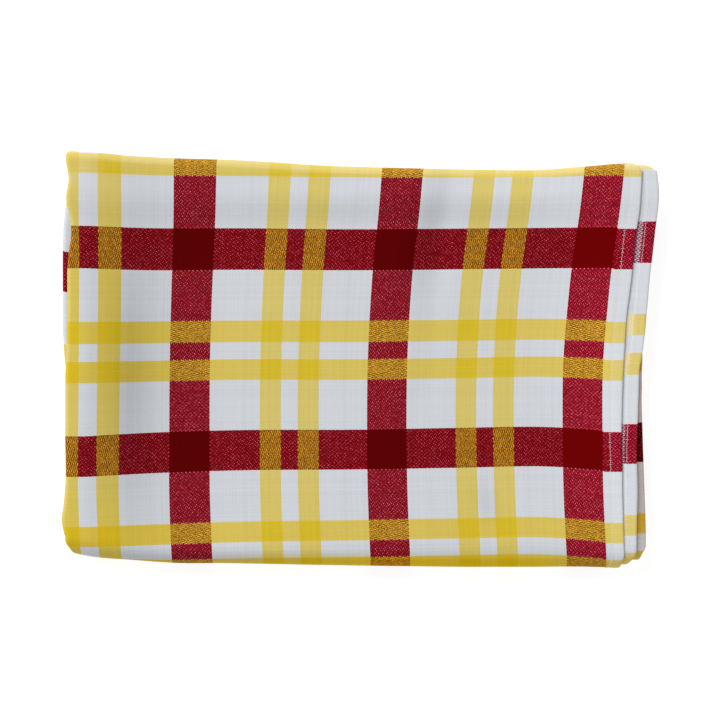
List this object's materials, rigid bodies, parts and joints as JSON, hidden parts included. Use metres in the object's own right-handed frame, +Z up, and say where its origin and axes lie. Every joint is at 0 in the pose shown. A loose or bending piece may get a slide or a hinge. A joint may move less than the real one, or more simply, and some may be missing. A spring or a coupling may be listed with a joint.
{
  "type": "folded tablecloth",
  "caption": "Rectangular woven tablecloth with a red, yellow and white check, folded crosswise and then lengthwise into a flat packet with its hems at one end.",
  "frame": {"origin": "middle of the underside of the folded cloth, on the surface it lies on", "axes": "+Z up, +X along the folded cloth towards its hems, +Y towards the fold that joins its two upper panels"},
  "size_m": [0.363, 0.2526, 0.0221],
  "materials": {
    "cloth": "matte woven cotton and linen with a red, yellow and white check"
  },
  "bodies": {
    "root": {"tablecloth": "cloth"}
  },
  "joints": []
}
